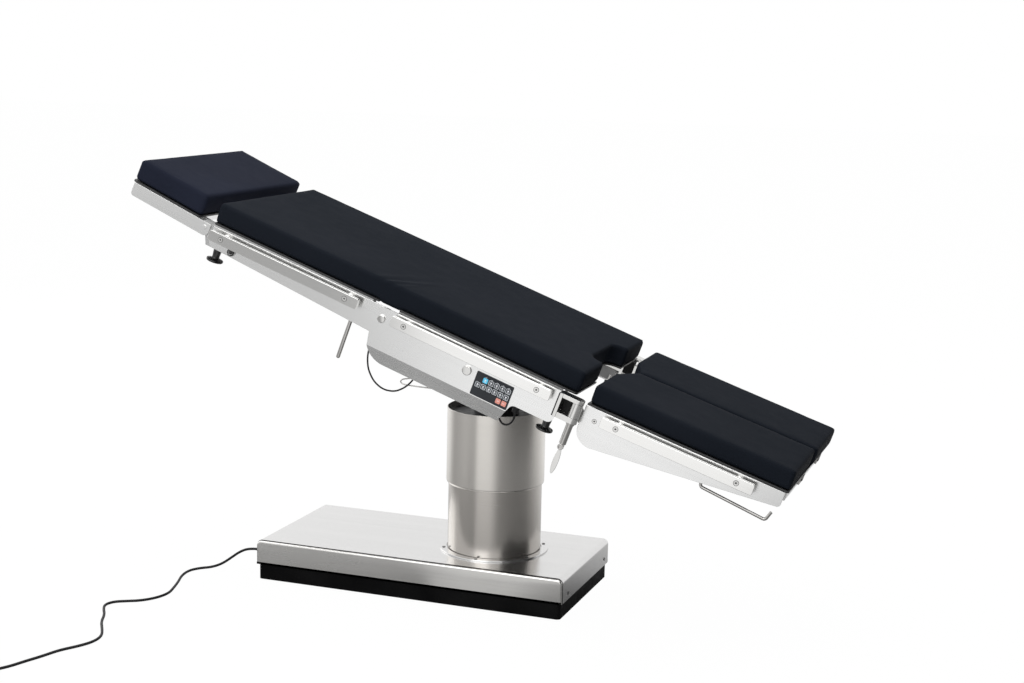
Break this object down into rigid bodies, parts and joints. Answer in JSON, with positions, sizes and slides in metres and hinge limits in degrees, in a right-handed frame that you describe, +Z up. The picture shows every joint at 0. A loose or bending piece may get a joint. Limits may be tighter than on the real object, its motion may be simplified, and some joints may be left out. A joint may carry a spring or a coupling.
{
  "type": "operating table",
  "caption": "Operating table with a padded top in hinged sections on a telescopic lifting column and a flat base that stands on the floor.",
  "frame": {"origin": "on the floor, under the middle of the table's bounding box without its mains cord", "axes": "+X towards the foot end, +Y to the far side from the keypad, +Z up"},
  "size_m": [1.8733, 1.4733, 1.1353],
  "materials": {
    "pad_cover": "satin",
    "head_pad_cover": "satin",
    "shell_grey": "satin",
    "frame_grey": "satin",
    "heavy_base": "satin",
    "base_shell": "brushed",
    "column_steel": "brushed",
    "rail_steel": "polished",
    "pin_steel": "polished",
    "machine_parts": "matte",
    "board_black": "matte",
    "knob_black": "satin",
    "keypad_face": "matte",
    "cable_black": "matte",
    "foot_rubber": "matte",
    "unit_case": "matte"
  },
  "bodies": {
    "base": {"base_chassis": "heavy_base", "base_cover": "base_shell", "base_side_panels": "base_shell", "base_feet": "foot_rubber", "power_unit": "unit_case", "column_flange": "column_steel", "lower_sleeve": "column_steel", "lift_cylinder": "pin_steel", "cord_inlet": "cable_black", "mains_cord": "cable_black", "mains_coil": "cable_black", "mains_plug": "cable_black"},
    "column_middle": {"middle_sleeve": "column_steel", "lift_stage": "pin_steel"},
    "column": {"upper_sleeve": "column_steel", "lift_ram": "pin_steel", "column_head": "machine_parts"},
    "cross": {"tilt_cross": "machine_parts"},
    "seat": {"seat_frame": "frame_grey", "seat_cover_near": "shell_grey", "seat_cover_far": "shell_grey", "keypad": "keypad_face", "seat_plate": "board_black", "seat_pad": "pad_cover", "torso_bend_pad": "pad_cover", "pivot_bolts": "pin_steel", "seat_rails": "rail_steel", "leg_bracket_near": "pin_steel", "leg_bracket_far": "pin_steel", "back_drive": "unit_case", "seat_cables": "cable_black"},
    "back": {"back_frame": "frame_grey", "back_panels": "shell_grey", "back_plate": "board_black", "back_pad": "pad_cover", "back_rails": "rail_steel"},
    "head": {"head_frame": "shell_grey", "head_plate": "board_black", "head_pad": "head_pad_cover"},
    "back_lever": {"back_lever": "pin_steel"},
    "seat_knob_near": {"seat_knob_near": "knob_black"},
    "back_knob_near": {"back_knob_near": "knob_black"},
    "leg_spread_near": {"leg_knuckle_near": "rail_steel"},
    "leg_near": {"leg_frame_near": "shell_grey", "leg_plate_near": "board_black", "leg_pad_near": "pad_cover", "leg_rail_near": "rail_steel"},
    "clamp_stem_near": {"clamp_stem_near": "pin_steel"},
    "clamp_blade_near": {"clamp_blade_near": "pin_steel"},
    "release_bar_near": {"release_bar_near": "rail_steel"},
    "seat_knob_far": {"seat_knob_far": "knob_black"},
    "back_knob_far": {"back_knob_far": "knob_black"},
    "leg_spread_far": {"leg_knuckle_far": "rail_steel"},
    "leg_far": {"leg_frame_far": "shell_grey", "leg_plate_far": "board_black", "leg_pad_far": "pad_cover", "leg_rail_far": "rail_steel"},
    "clamp_stem_far": {"clamp_stem_far": "pin_steel"},
    "clamp_blade_far": {"clamp_blade_far": "pin_steel"},
    "release_bar_far": {"release_bar_far": "rail_steel"}
  },
  "joints": [
    {"name": "column_lift", "type": "slide", "parent": "base", "child": "column", "axis": [0, 0, 1], "range_m": [-0.17, 0.15]},
    {"name": "middle_lift", "type": "slide", "parent": "base", "child": "column_middle", "axis": [0, 0, 1], "range_m": [-0.085, 0.075]},
    {"name": "lateral_tilt", "type": "hinge", "parent": "column", "child": "cross", "pos_m": [0.06692, 0, 0.65], "axis": [1, 0, 0], "range_deg": [-20, 20]},
    {"name": "trendelenburg", "type": "hinge", "parent": "cross", "child": "seat", "pos_m": [0.06692, 0, 0.65], "axis": [0, -1, 0], "range_deg": [-5, 45]},
    {"name": "back_hinge", "type": "hinge", "parent": "seat", "child": "back", "pos_m": [-0.16851, 0, 0.76336], "axis": [0, 1, 0], "range_deg": [-20, 75], "deforming": ["torso_bend_pad"]},
    {"name": "head_hinge", "type": "hinge", "parent": "back", "child": "head", "pos_m": [-0.6814, 0, 0.96813], "axis": [0, 1, 0], "range_deg": [-90, 25]},
    {"name": "leg_spread_near", "type": "hinge", "parent": "seat", "child": "leg_spread_near", "pos_m": [0.35977, -0.295, 0.57746], "axis": [-0.342, 0, -0.9397], "range_deg": [0, 90]},
    {"name": "leg_flex_near", "type": "hinge", "parent": "leg_spread_near", "child": "leg_near", "pos_m": [0.39431, -0.263, 0.51897], "axis": [0, 1, 0], "range_deg": [-10, 70]},
    {"name": "clamp_turn_near", "type": "hinge", "parent": "seat", "child": "clamp_stem_near", "pos_m": [0.3372, -0.295, 0.51544], "axis": [0.342, 0, 0.9397], "range_deg": [-90, 90]},
    {"name": "clamp_fold_near", "type": "hinge", "parent": "clamp_stem_near", "child": "clamp_blade_near", "pos_m": [0.32598, -0.295, 0.48462], "axis": [0, 1, 0], "range_deg": [-45, 45]},
    {"name": "leg_release_near", "type": "hinge", "parent": "leg_near", "child": "release_bar_near", "pos_m": [0.67968, -0.262, 0.45459], "axis": [0, -1, 0], "range_deg": [0, 8], "stiffness_Nm_per_rad": 3, "springref_deg": -11.46},
    {"name": "seat_knob_turn_near", "type": "hinge", "parent": "seat", "child": "seat_knob_near", "pos_m": [0.2786, -0.2555, 0.54741], "axis": [0.342, 0, 0.9397], "continuous": true},
    {"name": "back_knob_turn_near", "type": "hinge", "parent": "back", "child": "back_knob_near", "pos_m": [-0.65921, -0.2555, 0.88875], "axis": [0.342, 0, 0.9397], "continuous": true},
    {"name": "leg_spread_far", "type": "hinge", "parent": "seat", "child": "leg_spread_far", "pos_m": [0.35977, 0.295, 0.57746], "axis": [0.342, 0, 0.9397], "range_deg": [0, 90]},
    {"name": "leg_flex_far", "type": "hinge", "parent": "leg_spread_far", "child": "leg_far", "pos_m": [0.39431, 0.263, 0.51897], "axis": [0, 1, 0], "range_deg": [-10, 70]},
    {"name": "clamp_turn_far", "type": "hinge", "parent": "seat", "child": "clamp_stem_far", "pos_m": [0.3372, 0.295, 0.51544], "axis": [0.342, 0, 0.9397], "range_deg": [-90, 90]},
    {"name": "clamp_fold_far", "type": "hinge", "parent": "clamp_stem_far", "child": "clamp_blade_far", "pos_m": [0.32598, 0.295, 0.48462], "axis": [0, 1, 0], "range_deg": [-45, 45]},
    {"name": "leg_release_far", "type": "hinge", "parent": "leg_far", "child": "release_bar_far", "pos_m": [0.67968, 0.262, 0.45459], "axis": [0, -1, 0], "range_deg": [0, 8], "stiffness_Nm_per_rad": 3, "springref_deg": -11.46},
    {"name": "seat_knob_turn_far", "type": "hinge", "parent": "seat", "child": "seat_knob_far", "pos_m": [0.2786, 0.2555, 0.54741], "axis": [0.342, 0, 0.9397], "continuous": true},
    {"name": "back_knob_turn_far", "type": "hinge", "parent": "back", "child": "back_knob_far", "pos_m": [-0.65921, 0.2555, 0.88875], "axis": [0.342, 0, 0.9397], "continuous": true},
    {"name": "back_lever_turn", "type": "hinge", "parent": "back", "child": "back_lever", "pos_m": [-0.26274, -0.239, 0.77637], "axis": [0, 1, 0], "range_deg": [0, 25]}
  ],
  "couplings": [
    {"joint": "middle_lift", "follows": "column_lift", "ratio": 0.5}
  ]
}
